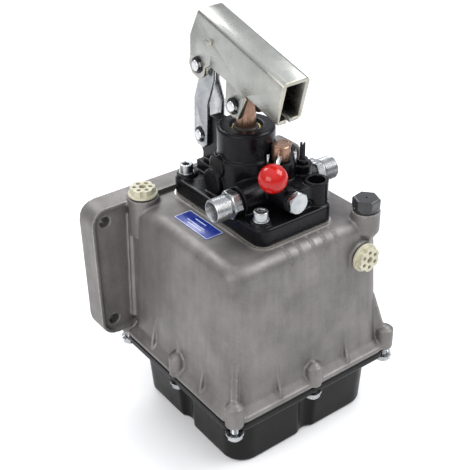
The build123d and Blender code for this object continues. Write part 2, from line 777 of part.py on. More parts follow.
piston_low = bore_low + piston_lift
piston_high = piston_low + piston_height
rod_stud = 5.0
nut_recess = 7.0
with BuildPart() as piston_rod:
    cylinder_up(piston_high, rod_pin_z + rod_top, 0, rod_y, rod_radius)
    chamfer(piston_rod.faces().sort_by(Axis.Z)[-1].edges(), 3)
    cylinder_up(piston_low + 1, piston_high, 0, rod_y, rod_stud)
    cylinder_across(-rod_radius - 1, rod_radius + 1, rod_y, rod_pin_z, pin_radius + RUN, Mode.SUBTRACT)
keep(piston_rod, "piston_rod")

seal_low = piston_high - 7.0
with BuildPart() as piston:
    cylinder_up(piston_low, piston_high, 0, rod_y, bore_radius - RUN)
    cylinder_up(piston_low - 1, piston_high + 1, 0, rod_y, rod_stud + SEAT, Mode.SUBTRACT)
    cylinder_up(piston_low - 1, piston_low + nut_recess, 0, rod_y, rod_stud + 5.5, Mode.SUBTRACT)
    with BuildSketch(Plane.XY.offset(seal_low)):
        with Locations((0, rod_y)):
            Circle(bore_radius + 1)
            Circle(bore_radius - seal_section, mode=Mode.SUBTRACT)
    extrude(amount=seal_section, mode=Mode.SUBTRACT)
keep(piston, "piston")

with BuildPart() as piston_seal:
    with BuildSketch(Plane.XY.offset(seal_low)):
        with Locations((0, rod_y)):
            Circle(bore_radius - RUN / 2)
            Circle(bore_radius - seal_section, mode=Mode.SUBTRACT)
    extrude(amount=seal_section)
keep(piston_seal, "piston_seal")

with BuildPart() as piston_nut:
    with BuildSketch(Plane.XY.offset(piston_low + 1)):
        with Locations((0, rod_y)):
            RegularPolygon(8.5, 6, major_radius=False)
            Circle(rod_stud + SEAT, mode=Mode.SUBTRACT)
    extrude(amount=nut_recess - 1)
keep(piston_nut, "piston_nut")

# ================================================================ lever socket
profile_low = 14.0
with BuildPart() as lever_socket:
    # Folded channel, open below.
    with BuildSketch(socket_section.offset(-socket_back)) as channel:
        with Locations((0, (socket_top - profile_low) / 2)):
            Rectangle(socket_width, socket_top + profile_low)
        fillet(channel.vertices().group_by(Axis.Y)[-1], socket_round)
        with Locations((0, (socket_top - socket_wall - profile_low) / 2 - 1)):
            Rectangle(
                socket_width - 2 * socket_wall,
                socket_top - socket_wall + profile_low + 2,
                mode=Mode.SUBTRACT,
            )
    extrude(amount=socket_back + socket_front)
    # Side outline: lever grip in front, rod pin lug below, link pin lug behind.
    with BuildSketch(socket_side) as outline:
        with BuildLine():
            Polyline(
                (socket_front, socket_bottom),
                (socket_front, socket_top),
                (-socket_back + 7, socket_top),
                (-socket_back, socket_top - 30),
                (-arm_back - 12.7, arm_up + 5),
                (-arm_back - 12.7, arm_up - 5),
                (-arm_back - 6, arm_up - 12),
                (-arm_back + 5, arm_up - 12),
                (-arm_back + 11.5, arm_up - 5),
                (-arm_back + 11.5, arm_up + 4),
                (-arm_back + 17, socket_bottom + 0.5),
                (-14.5, socket_bottom + 0.5),
                (-10.0, -10.5),
                (9.5, -10.5),
                (lip_start - 1, socket_bottom),
                close=True,
            )
        make_face()
        fillet(outline.vertices().group_by(Axis.Y)[0], 6)
        fillet(outline.vertices().group_by(Axis.X)[0], 5)
    extrude(amount=socket_width, both=True, mode=Mode.INTERSECT)
    # Two lips close the grip from below, with a seam between them.
    lip = (socket_width - seam_gap) / 2
    with BuildSketch(socket_section.offset(lip_start)):
        for side in (-1, 1):
            with Locations((side * (seam_gap + lip) / 2, socket_bottom + socket_wall / 2)):
                Rectangle(lip, socket_wall)
    extrude(amount=socket_front - lip_start)
    # Folded lower corners of the grip.
    with BuildSketch(socket_section.offset(lip_start - 1)):
        for side in (-1, 1):
            half = side * socket_width / 2
            with BuildLine():
                Polyline(
                    (half, socket_bottom - 0.1),
                    (half, socket_bottom + 3.5),
                    (half - side * 3.5, socket_bottom - 0.1),
                    close=True,
                )
            make_face()
    extrude(amount=socket_front - lip_start + 2, mode=Mode.SUBTRACT)
    # Pin holes through both sides.
    with BuildSketch(socket_side.offset(-socket_width)):
        Circle(pin_radius + SEAT)
        with Locations((-arm_back, arm_up)):
            Circle(pin_radius + RUN)
    extrude(amount=2 * socket_width, mode=Mode.SUBTRACT)
    # Pressed dimple that stops the lever bar.
    with BuildSketch(socket_side.offset(socket_width / 2 - 0.5)):
        with Locations((-45, 37.5)):
            SlotOverall(9, 5, rotation=20)
    extrude(amount=1.7)
keep(lever_socket, "lever_socket")


# ============================================================= pins and circlips
def build_pin(half_face, y, z):
    """Pin across X through faces at +/-half_face, with a circlip groove past each."""
    half = half_face + circlip_thick + pin_overhang
    with BuildPart() as pin:
        cylinder_across(-half, half, y, z, pin_radius)
        chamfer(pin.edges().filter_by(GeomType.CIRCLE), 0.6)
        for side in (-1, 1):
            groove = side * (half_face + 0.1)
            cylinder_across(groove, groove + side * circlip_thick, y, z, pin_radius + 1, Mode.SUBTRACT)
            cylinder_across(groove, groove + side * circlip_thick, y, z, pin_radius - groove_depth)
    return pin


def build_circlips(spots):
    """Open spring rings; each spot is (half_face, y, z, direction of the gap)."""
    with BuildPart() as rings:
        for half_face, y, z, gap in spots:
            for side in (-1, 1):
                start = half_face + 0.1 if side > 0 else -half_face - 0.1 - circlip_thick
                with BuildSketch(Plane.YZ.offset(start)) as ring:
                    with Locations((y, z)):
                        Circle(circlip_radius)
                        Circle(pin_radius - groove_depth, mode=Mode.SUBTRACT)
                    with Locations((y + 6 * cos(radians(gap)), z + 6 * sin(radians(gap)))):
                        Rectangle(8, 5.5, rotation=gap, mode=Mode.SUBTRACT)
                extrude(ring.sketch, amount=circlip_thick)
    return rings


top_outer = link_gap / 2 + link_thick
low_outer = bracket_half + SIDE_GAP + link_thick
rod_pin = build_pin(socket_width / 2, rod_y, rod_pin_z)
keep(rod_pin, "rod_pin")
upper_link_pin = build_pin(socket_width / 2, upper_pin_y, upper_pin_z)
keep(upper_link_pin, "upper_link_pin")
lower_link_pin = build_pin(low_outer, link_pin_y, link_pin_z)
keep(lower_link_pin, "lower_link_pin")
rod_pin_circlips = build_circlips([(socket_width / 2, rod_y, rod_pin_z, 190)])
keep(rod_pin_circlips, "rod_pin_circlips")
link_circlips = build_circlips(
    [(socket_width / 2, upper_pin_y, upper_pin_z, 160), (low_outer, link_pin_y, link_pin_z, 200)]
)
keep(link_circlips, "link_circlips")

with BuildPart() as link_spacers:
    for side in (-1, 1):
        spacer_end = side * (socket_width / 2 - socket_wall - SIDE_GAP)
        cylinder_across(side * top_outer, spacer_end, upper_pin_y, upper_pin_z, spacer_radius)
    spacer_hole = pin_radius + SEAT
    cylinder_across(-socket_width, socket_width, upper_pin_y, upper_pin_z, spacer_hole, Mode.SUBTRACT)
keep(link_spacers, "link_spacers")


# ======================================================================= links
def build_link(side):
    """Flat link that leaves the socket's channel and is cranked out past the bracket."""
    inner_top = side * (top_outer - link_thick)
    inner_low = side * (low_outer - link_thick)
    crank_low = link_length - link_spread[0]
    crank_high = link_length - link_spread[1]
    edge = link_width / 2
    with BuildPart() as link:
        with BuildSketch(link_edge) as strip:
            with BuildLine():
                Polyline(
                    (inner_low, -link_end),
                    (inner_low, crank_low),
                    (inner_top, crank_high),
                    (inner_top, link_length + link_end),
                    (side * top_outer, link_length + link_end),
                    (side * top_outer, crank_high),
                    (side * low_outer, crank_low),
                    (side * low_outer, -link_end),
                    close=True,
                )
            make_face()
        extrude(strip.sketch, amount=edge, both=True)
        with BuildSketch(link_side) as shape:
            with BuildLine():
                Polyline(
                    (-edge, 6 - link_end),
                    (6 - edge, -link_end),
                    (edge - 6, -link_end),
                    (edge, 6 - link_end),
                    (edge, link_length + link_end - 6),
                    (edge - 6, link_length + link_end),
                    (6 - edge, link_length + link_end),
                    (-edge, link_length + link_end - 6),
                    close=True,
                )
            make_face()
        extrude(shape.sketch, amount=2 * low_outer, both=True, mode=Mode.INTERSECT)
        with BuildSketch(link_side.offset(-2 * low_outer)) as holes:
            with Locations((0, 0), (0, link_length)):
                Circle(pin_radius + SEAT)
        extrude(holes.sketch, amount=4 * low_outer, mode=Mode.SUBTRACT)
    return link


link_left = build_link(-1)
keep(link_left, "link_left")
link_right = build_link(1)
keep(link_right, "link_right")

# ============================================================== port adapters
def build_adapter(face, side):
    """Double-ended port adapter: stud in the body, hexagon, thread for a hose."""
    hex_end = face + side * (ring_thick + adapter_hex_length)
    tip = hex_end + side * adapter_thread_length
    with BuildPart() as adapter:
        hex_start = face + side * ring_thick
        cylinder_across(face - side * stud_length, hex_start, port_y, port_z, stud_radius)
        with BuildSketch(Plane.YZ.offset(min(hex_start, hex_end))) as hexagon:
            with Locations((port_y, port_z)):
                RegularPolygon(adapter_hex / 2, 6, major_radius=False)
        extrude(hexagon.sketch, amount=adapter_hex_length)
        cylinder_across(hex_end, tip, port_y, port_z, adapter_thread)
        end = adapter.faces().sort_by(Axis.X)[0 if side < 0 else -1]
        chamfer(end.edges(), 1.5)
        inner_end = face - side * (stud_length + 1)
        cylinder_across(inner_end, tip + side, port_y, port_z, adapter_bore, Mode.SUBTRACT)
        with Locations((tip - side * cone_depth / 2, port_y, port_z)):
            Cone(
                adapter_bore,
                cone_mouth,
                cone_depth + 0.1,
                rotation=(0, 90 * side, 0),
                mode=Mode.SUBTRACT,
            )
    return adapter


left_port_adapter = build_adapter(port_left, -1)
keep(left_port_adapter, "left_port_adapter")
right_port_adapter = build_adapter(port_right, 1)
keep(right_port_adapter, "right_port_adapter")

with BuildPart() as port_seal_rings:
    for face, side in ((port_left, -1), (port_right, 1)):
        with BuildSketch(Plane.YZ.offset(min(face, face + side * ring_thick))):
            with Locations((port_y, port_z)):
                Circle(adapter_hex / 2 - 1)
                Circle(stud_radius + SEAT, mode=Mode.SUBTRACT)
        extrude(amount=ring_thick)
keep(port_seal_rings, "port_seal_rings")

# ===================================================================== valves
cap_low = shoulder_z + 0.5
rod_root_z = cap_low + 8.0
lever_aim = (
    release_reach * cos(radians(release_angle)),
    release_reach * sin(radians(release_angle)),
    -release_droop,
)
lever_axis = Plane(origin=(release_x, release_y, rod_root_z), z_dir=lever_aim)
lever_length = hypot(release_reach, release_droop)

with BuildPart() as release_spool:
    cylinder_up(cap_low, cap_low + cap_height, release_x, release_y, cap_radius)
    chamfer(release_spool.faces().sort_by(Axis.Z)[-1].edges(), 1)
    cylinder_up(shoulder_z - spool_depth, cap_low, release_x, release_y, spool_radius)
    cylinder_up(shoulder_z - 7, shoulder_z - 4.6, release_x, release_y, spool_radius + 1, Mode.SUBTRACT)
    cylinder_up(shoulder_z - 7, shoulder_z - 4.6, release_x, release_y, spool_radius - 1.5)
    with BuildSketch(lever_axis.offset(2)):
        Circle(release_rod_radius + SEAT)
    extrude(amount=cap_radius, mode=Mode.SUBTRACT)
keep(release_spool, "release_spool")

with BuildPart() as release_seal:
    with BuildSketch(Plane.XY.offset(shoulder_z - 6.9)):
        with Locations((release_x, release_y)):
            Circle(spool_radius + RUN / 2)
            Circle(spool_radius - 1.5, mode=Mode.SUBTRACT)
    extrude(amount=2.2)
keep(release_seal, "release_seal")

knob_depth = 9.0
with BuildPart() as release_rod:
    with BuildSketch(lever_axis.offset(2)):
        Circle(release_rod_radius)
    extrude(amount=lever_length - 2 - knob_radius + knob_depth)
keep(release_rod, "release_rod")

with BuildPart() as release_knob:
    with Locations(lever_axis.offset(lever_length).location):
        Sphere(knob_radius)
    with BuildSketch(lever_axis.offset(lever_length - knob_radius - 1)):
        Circle(release_rod_radius + SEAT)
    extrude(amount=knob_depth + 1, mode=Mode.SUBTRACT)
    with BuildSketch(lever_axis.offset(lever_length - knob_radius - 1)):
        Circle(knob_radius)
    extrude(amount=2.2, mode=Mode.SUBTRACT)
keep(release_knob, "release_knob")

with BuildPart() as stop_pins:
    for angle in stop_angles:
        pin_x = release_x + stop_pin_reach * cos(radians(angle))
        pin_y = release_y + stop_pin_reach * sin(radians(angle))
        cylinder_up(shoulder_z - 4, shoulder_z + stop_pin_height, pin_x, pin_y, stop_pin_radius)
keep(stop_pins, "stop_pins")


def build_spring(foot, direction, length):
    """Open coil between two seats, from the centre of its foot along a direction."""
    with BuildPart() as spring:
        with BuildLine() as coil:
            Helix(
                pitch=length / 5,
                height=length - 2 * spring_wire - 0.2,
                radius=spring_radius,
                center=foot,
                direction=direction,
            )
        start = coil.line @ 0
        with BuildSketch(Plane(origin=start, z_dir=coil.line % 0)) as wire:
            Circle(spring_wire)
        sweep(wire.sketch, path=coil.line)
    return spring


ball_rise = sqrt(valve_ball**2 - valve_drill**2) + 0.03

with BuildPart() as delivery_ball:
    with Locations((check_x, check_y, check_seat + ball_rise)):
        Sphere(valve_ball)
keep(delivery_ball, "delivery_ball")

delivery_gap = check_seat + ball_rise + valve_ball + 0.1
delivery_spring = build_spring(
    (check_x, check_y, delivery_gap + spring_wire),
    (0, 0, 1),
    check_top - check_stem - delivery_gap,
)
keep(delivery_spring, "delivery_spring")

with BuildPart() as delivery_plug:
    cylinder_up(check_top - check_stem, check_top, check_x, check_y, check_stem_radius)
    cylinder_up(check_top, check_top + check_plug_height, check_x, check_y, check_plug_radius)
    chamfer(delivery_plug.faces().sort_by(Axis.Z)[-1].edges(), 1)
    with BuildSketch(Plane.XY.offset(check_top + check_plug_height - 3)):
        with Locations((check_x, check_y)):
            RegularPolygon(4, 6, major_radius=False)
    extrude(amount=4, mode=Mode.SUBTRACT)
keep(delivery_plug, "delivery_plug")

with BuildPart() as relief_ball:
    with Locations((relief_x, relief_y, relief_seat + ball_rise)):
        Sphere(valve_ball)
keep(relief_ball, "relief_ball")

relief_guide = 7.0
relief_gap = relief_seat + ball_rise + valve_ball + 0.1
relief_spring = build_spring(
    (relief_x, relief_y, relief_gap + spring_wire),
    (0, 0, 1),
    relief_top - relief_guide - relief_gap,
)
keep(relief_spring, "relief_spring")

with BuildPart() as relief_adjuster:
    stud_tip = relief_top + relief_stud_above
    cylinder_up(relief_top - relief_guide, relief_top, relief_x, relief_y, valve_bore - RUN)
    cylinder_up(relief_top, stud_tip, relief_x, relief_y, relief_stud_radius)
    with Locations((relief_x, relief_y, stud_tip)):
        Box(6, 1.2, 6, rotation=(0, 0, 36), mode=Mode.SUBTRACT)
keep(relief_adjuster, "relief_adjuster")

with BuildPart() as relief_locknut:
    with BuildSketch(Plane.XY.offset(relief_top)):
        with Locations((relief_x, relief_y)):
            RegularPolygon(locknut_flats / 2, 6, major_radius=False)
            Circle(relief_stud_radius + SEAT, mode=Mode.SUBTRACT)
    extrude(amount=locknut_height)
keep(relief_locknut, "relief_locknut")

ball_y = suction_floor - ball_rise
with BuildPart() as suction_ball:
    with Locations((suction_x, ball_y, suction_z)):
        Sphere(valve_ball)
keep(suction_ball, "suction_ball")

suction_gap = ball_y - valve_ball - 0.1
suction_spring = build_spring(
    (suction_x, suction_gap - spring_wire, suction_z),
    (0, -1, 0),
    suction_gap - (suction_face + plug_stud_length),
)
keep(suction_spring, "suction_spring")

plug_front = Plane(origin=(suction_x, suction_face, suction_z), x_dir=(1, 0, 0), z_dir=(0, -1, 0))
with BuildPart() as suction_plug:
    stud_back = suction_face + plug_stud_length
    cylinder_deep(stud_back, suction_face - plug_seal, suction_x, suction_z, plug_stud_radius)
    with BuildSketch(plug_front.offset(plug_seal)):
        RegularPolygon(plug_hex / 2, 6, major_radius=False, rotation=30)
    extrude(amount=plug_head_height)
keep(suction_plug, "suction_plug")

with BuildPart() as suction_plug_seal:
    with BuildSketch(plug_front):
        Circle(plug_hex / 2)
        Circle(plug_stud_radius + SEAT, mode=Mode.SUBTRACT)
    extrude(amount=plug_seal)
keep(suction_plug_seal, "suction_plug_seal")

with BuildPart() as set_screw:
    screw_front = web_face - 0.3
    cylinder_deep(screw_front, web_face + set_screw_length, set_screw_x, set_screw_z, set_screw_radius)
    with BuildSketch(Plane.XZ.offset(-screw_front)):
        with Locations((set_screw_x, set_screw_z)):
            RegularPolygon(1.5, 6, major_radius=False)
    extrude(amount=-3, mode=Mode.SUBTRACT)
keep(set_screw, "set_screw")

strainer_low = pan_wall + 1 + strainer_clear
strainer_top = strainer_low + strainer_height
strainer_roof = strainer_top - 8
tube_top = body_z + tube_grip
with BuildPart() as suction_tube:
    cylinder_up(strainer_roof, tube_top, suction_x, tube_y, tube_radius)
    cylinder_up(strainer_roof - 1, tube_top + 1, suction_x, tube_y, tube_radius - tube_wall, Mode.SUBTRACT)
keep(suction_tube, "suction_tube")

with BuildPart() as suction_strainer:
    cylinder_up(strainer_low, strainer_top, suction_x, tube_y, strainer_radius)
    mesh_radius = strainer_radius - strainer_wall
    cylinder_up(strainer_low - 1, strainer_roof, suction_x, tube_y, mesh_radius, Mode.SUBTRACT)
    cylinder_up(strainer_low, strainer_top + 1, suction_x, tube_y, tube_radius + SEAT, Mode.SUBTRACT)
keep(suction_strainer, "suction_strainer")

# ================================================================= pump bolts
with BuildPart() as body_washers:
    with BuildSketch(Plane.XY.offset(bolt_seat)):
        with Locations((0, bolt_y)):
            with GridLocations(bolt_spacing_x, bolt_spacing_y, 2, 2):
                Circle(bolt_washer_radius)
                Circle(bolt_thread / 2 + SEAT, mode=Mode.SUBTRACT)
    extrude(amount=bolt_washer_thick)
keep(body_washers, "body_washers")

with BuildPart() as body_bolts:
    head_low = bolt_seat + bolt_washer_thick
    with Locations((0, bolt_y, head_low)):
        with GridLocations(bolt_spacing_x, bolt_spacing_y, 2, 2):
            Cylinder(bolt_head_radius, bolt_head_height, align=LOW)
            Cylinder(bolt_thread / 2, bolt_length, align=HIGH)
    chamfer(body_bolts.edges().filter_by(GeomType.CIRCLE).group_by(Axis.Z)[-1], 0.6)
    with BuildSketch(Plane.XY.offset(head_low + bolt_head_height - 4)):
        with Locations((0, bolt_y)):
            with GridLocations(bolt_spacing_x, bolt_spacing_y, 2, 2):
                RegularPolygon(3, 6, major_radius=False)
    extrude(amount=5, mode=Mode.SUBTRACT)
keep(body_bolts, "body_bolts")


# ======================================================== plugs and nameplate
def build_lobed_plug(seat):
    """Moulded blanking plug with a lobed grip, seated on the plane's origin."""
    with BuildPart() as plug:
        with BuildSketch(seat.offset(plug_seal)) as flange:
            Circle(filler_radius)
        extrude(flange.sketch, amount=2.5)
        with BuildSketch(seat.offset(plug_seal + 2.5)) as grip:
            Circle(filler_radius - 2)
            with PolarLocations(filler_radius, 6):
                Circle(3.6, mode=Mode.SUBTRACT)
        extrude(grip.sketch, amount=5.5)
        with BuildSketch(seat.offset(plug_seal + 4.0)) as pockets:
            with PolarLocations(7.4, 6, start_angle=30):
                Circle(1.9)
            Circle(3.2)
        extrude(pockets.sketch, amount=6, mode=Mode.SUBTRACT)
        with BuildSketch(seat.offset(plug_seal)) as stem:
            Circle(breather_stem)
        extrude(stem.sketch, amount=-breather_stem_length)
    return plug


def build_plug_seal(seat, outer, inner):
    """Flat sealing ring on the plane's origin."""
    with BuildPart() as ring:
        with BuildSketch(seat) as section:
            Circle(outer)
            Circle(inner, mode=Mode.SUBTRACT)
        extrude(section.sketch, amount=plug_seal)
    return ring


filler_seat = Plane(origin=(filler_x, filler_y, roof_z + boss_raise))
sight_seat = Plane(origin=(sight_x, sight_face, sight_z), x_dir=(1, 0, 0), z_dir=(0, -1, 0))
breather_seat = Plane(origin=(breather_x, breather_y, roof_z + breather_raise))

filler_plug = build_lobed_plug(filler_seat)
keep(filler_plug, "filler_plug")
filler_seal = build_plug_seal(filler_seat, filler_radius - 1, breather_stem + SEAT)
keep(filler_seal, "filler_seal")
level_plug = build_lobed_plug(sight_seat)
keep(level_plug, "level_plug")
level_seal = build_plug_seal(sight_seat, sight_radius - 0.5, breather_stem + SEAT)
keep(level_seal, "level_seal")
breather_seal = build_plug_seal(breather_seat, breather_hex / 2 + 0.5, breather_stem + RUN)
keep(breather_seal, "breather_seal")

with BuildPart() as breather_cap:
    with BuildSketch(breather_seat.offset(plug_seal)):
        Circle(breather_hex / 2 + 1)
    extrude(amount=2)
    with BuildSketch(breather_seat.offset(plug_seal + 2)):
        RegularPolygon(breather_hex / 2, 6, major_radius=False, rotation=10)
    extrude(amount=breather_height - 2)
    chamfer(breather_cap.faces().sort_by(Axis.Z)[-1].edges(), 1.5)
    with BuildSketch(breather_seat.offset(plug_seal)):
        Circle(breather_stem)
    extrude(amount=-breather_stem_length)
    with BuildSketch(breather_seat.offset(plug_seal - breather_stem_length)):
        Circle(1.2)
    extrude(amount=breather_stem_length + breather_height, mode=Mode.SUBTRACT)
keep(breather_cap, "breather_cap")

with BuildPart() as nameplate:
    with BuildSketch(Plane.XY.offset(roof_z)):
        with Locations((label_x, label_y)):
            RectangleRounded(label_size[1], label_size[0], 1)
    extrude(amount=label_thick)
keep(nameplate, "nameplate")

# ===================================================================== export
os.makedirs("parts", exist_ok=True)
for piece in finished:
    export_step(piece, f"parts/{piece.label}.step")
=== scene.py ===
"""Looks of the hydraulic hand pump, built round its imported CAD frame. Metres, +Z up, front -Y."""

import json
from math import cos, pi, radians, sin, tau

import bmesh
import bpy
from mathutils import Matrix, Vector


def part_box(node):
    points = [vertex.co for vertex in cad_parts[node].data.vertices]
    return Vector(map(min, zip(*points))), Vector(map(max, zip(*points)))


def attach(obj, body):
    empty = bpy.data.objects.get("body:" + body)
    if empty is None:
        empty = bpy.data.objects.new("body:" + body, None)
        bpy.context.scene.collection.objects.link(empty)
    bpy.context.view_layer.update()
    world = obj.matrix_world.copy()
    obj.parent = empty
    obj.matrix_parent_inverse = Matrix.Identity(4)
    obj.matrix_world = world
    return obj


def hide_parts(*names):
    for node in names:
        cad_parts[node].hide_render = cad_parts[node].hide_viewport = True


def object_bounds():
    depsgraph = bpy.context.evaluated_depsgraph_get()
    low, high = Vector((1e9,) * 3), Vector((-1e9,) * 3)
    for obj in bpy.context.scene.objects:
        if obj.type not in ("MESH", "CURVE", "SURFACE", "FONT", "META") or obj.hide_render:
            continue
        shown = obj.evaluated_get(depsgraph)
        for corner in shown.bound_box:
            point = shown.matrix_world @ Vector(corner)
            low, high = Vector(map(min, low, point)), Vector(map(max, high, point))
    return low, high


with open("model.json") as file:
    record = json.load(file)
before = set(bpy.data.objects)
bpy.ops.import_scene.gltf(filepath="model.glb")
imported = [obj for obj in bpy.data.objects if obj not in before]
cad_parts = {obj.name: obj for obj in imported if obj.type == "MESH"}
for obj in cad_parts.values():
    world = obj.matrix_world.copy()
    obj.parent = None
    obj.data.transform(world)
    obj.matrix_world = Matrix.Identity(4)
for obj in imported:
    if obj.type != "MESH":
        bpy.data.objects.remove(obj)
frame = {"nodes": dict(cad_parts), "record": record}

MM = 0.001
cad_low, cad_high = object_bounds()
record = frame["record"]
slot_of = {part["node"]: part["material_slot"] for part in record["subparts"]}
body_of = {
    node: body
    for body, members in record["behaviour"]["bodies"].items()
    for node in members
}

# ------------------------------------------------------------------- camera
VIEW_AZIMUTH = radians(-36.29)
VIEW_ELEVATION = radians(31.49)
VIEW_ROLL = radians(-1.07)
VIEW_FROM = Vector((-455.2, -590.3, 644.3)) * MM
VIEW_LENS = 71.27


def make_camera():
    """Camera at the viewing angle, with its small roll."""
    back = Vector(
        (
            sin(VIEW_AZIMUTH) * cos(VIEW_ELEVATION),
            -cos(VIEW_AZIMUTH) * cos(VIEW_ELEVATION),
            sin(VIEW_ELEVATION),
        )
    )
    level = (-back).cross(Vector((0, 0, 1))).normalized()
    upward = level.cross(-back)
    right = level * cos(VIEW_ROLL) + upward * sin(VIEW_ROLL)
    up = upward * cos(VIEW_ROLL) - level * sin(VIEW_ROLL)
    camera = bpy.data.objects.new("camera", bpy.data.cameras.new("camera"))
    bpy.context.scene.collection.objects.link(camera)
    turn = Matrix((right, up, back)).transposed()
    camera.matrix_world = Matrix.Translation(VIEW_FROM) @ turn.to_4x4()
    camera.data.lens = VIEW_LENS
    camera.data.clip_start = 0.01
    bpy.context.scene.camera = camera


make_camera()


# ---------------------------------------------------------------- materials
class Nodes:
    """A new material and short calls for the nodes in it."""

    def __init__(self, name):
        self.material = bpy.data.materials.new(name)
        self.material.use_nodes = True
        self.tree = self.material.node_tree
        self.shader = self.tree.nodes["Principled BSDF"]

    def add(self, kind, inputs=(), **settings):
        node = self.tree.nodes.new(kind)
        for key, value in settings.items():
            setattr(node, key, value)
        for key, value in dict(inputs).items():
            self.feed(node.inputs[key], value)
        return node

    def feed(self, socket, value):
        if isinstance(value, bpy.types.NodeSocket):
            self.tree.links.new(value, socket)
        else:
            socket.default_value = value

    def place(self, scale=(1, 1, 1)):
        """Position on the object, in its own axes, stretched by scale."""
        coordinates = self.add("ShaderNodeTexCoord").outputs["Object"]
        return self.add("ShaderNodeMapping", {"Vector": coordinates, "Scale": scale}).outputs[0]

    def noise(self, size, detail=4.0, rough=0.55, stretch=(1, 1, 1)):
        """Noise whose features are about size metres across."""
        inputs = {
            "Vector": self.place(stretch),
            "Scale": 1 / size,
            "Detail": detail,
            "Roughness": rough,
        }
        return self.add("ShaderNodeTexNoise", inputs).outputs["Fac"]

    def span(self, value, low, high, to_low=0.0, to_high=1.0):
        """value between low and high, moved to between to_low and to_high, and held there."""
        inputs = {
            "Value": value,
            "From Min": low,
            "From Max": high,
            "To Min": to_low,
            "To Max": to_high,
        }
        return self.add("ShaderNodeMapRange", inputs).outputs[0]

    def blend(self, factor, first, second):
        """Colour between first and second."""
        node = self.add("ShaderNodeMix", data_type="RGBA")
        self.feed(node.inputs["Factor"], factor)
        self.feed(node.inputs["A"], first)
        self.feed(node.inputs["B"], second)
        return node.outputs["Result"]

    def maths(self, operation, first, second=0.5):
        return self.add("ShaderNodeMath", {0: first, 1: second}, operation=operation).outputs[0]

    def edges(self, radius):
        """0 on flats, towards 1 where the surface turns sharply within radius."""
        rounded = self.add("ShaderNodeBevel", {"Radius": radius}, samples=6).outputs[0]
        straight = self.add("ShaderNodeNewGeometry").outputs["Normal"]
        inputs = {0: rounded, 1: straight}
        likeness = self.add("ShaderNodeVectorMath", inputs, operation="DOT_PRODUCT").outputs["Value"]
        return self.maths("SUBTRACT", 1.0, likeness)


def tone(red, green, blue):
    return (red, green, blue, 1.0)


def surface(
    name,
    dark,
    light,
    metallic,
    roughness,
    patch=0.03,
    grain=0.0008,
    depth=0.00003,
    speckle=0.0,
    edge=None,
    edge_radius=0.0012,
    edge_share=0.7,
    streak=None,
    run=0.0,
    painted_shade=None,
    painted_shade_reach=0.02,
    painted_shade_share=0.7,
    round_edges=0.0,
    coat=0.0,
    ior=1.5,
):
    """Material with blotches of colour and a fine grain in relief, and where asked for,
    speckle, streaks, runs down the walls, rubbed edges and painted shade that darkens the hollows."""
    nodes = Nodes(name)
    blotches = nodes.span(nodes.noise(patch, 5.0, 0.6), 0.3, 0.7)
    colour = nodes.blend(blotches, dark, light)
    fine = nodes.noise(grain, 3.0, 0.6)
    if speckle:
        shade = nodes.span(fine, 0.3, 0.7, 1 - speckle, 1 + speckle)
        scaled = nodes.add("ShaderNodeVectorMath", {0: colour, "Scale": shade}, operation="SCALE")
        colour = scaled.outputs[0]
    if run:
        down = nodes.noise(0.007, 4.0, 0.6, (1, 1, 0.12))
        shade = nodes.span(down, 0.3, 0.7, 1 - run, 1 + run)
        scaled = nodes.add("ShaderNodeVectorMath", {0: colour, "Scale": shade}, operation="SCALE")
        colour = scaled.outputs[0]
    rough = nodes.span(nodes.noise(patch * 0.4, 4.0), 0.3, 0.7, *roughness)
    height = fine
    if streak:
        lines = nodes.noise(streak[0], 2.0, 0.5, streak[1])
        rough = nodes.maths("ADD", rough, nodes.span(lines, 0.3, 0.7, -0.06, 0.06))
        height = nodes.maths("ADD", fine, lines)
    if edge:
        turned = nodes.maths("MULTIPLY", nodes.edges(edge_radius), 6.0)
        broken = nodes.span(nodes.noise(0.004, 5.0, 0.7), 0.35, 0.6, 0.35, 1.0)
        worn = nodes.span(nodes.maths("MULTIPLY", turned, broken), 0.15, 0.9, 0.0, edge_share)
        colour = nodes.blend(worn, colour, edge)
    # Painted shade: the colour is darkened towards a dark tone where ambient occlusion finds hollows,
    # corners and creases.
    if painted_shade:
        reach = {"Distance": painted_shade_reach}
        light_in = nodes.add("ShaderNodeAmbientOcclusion", reach, samples=6).outputs["AO"]
        painted_shade_mask = nodes.span(light_in, 0.25, 0.85, painted_shade_share, 0.0)
        colour = nodes.blend(painted_shade_mask, colour, painted_shade)
    nodes.feed(nodes.shader.inputs["Base Color"], colour)
    nodes.feed(nodes.shader.inputs["Roughness"], rough)
    nodes.shader.inputs["Metallic"].default_value = metallic
    nodes.shader.inputs["Coat Weight"].default_value = coat
    nodes.shader.inputs["Coat Roughness"].default_value = 0.12
    nodes.shader.inputs["IOR"].default_value = ior
    relief = {"Height": height, "Strength": 1.0, "Distance": depth}
    if round_edges:
        relief["Normal"] = nodes.add("ShaderNodeBevel", {"Radius": round_edges}, samples=6).outputs[0]
    nodes.feed(nodes.shader.inputs["Normal"], nodes.add("ShaderNodeBump", relief).outputs[0])
    return nodes.material


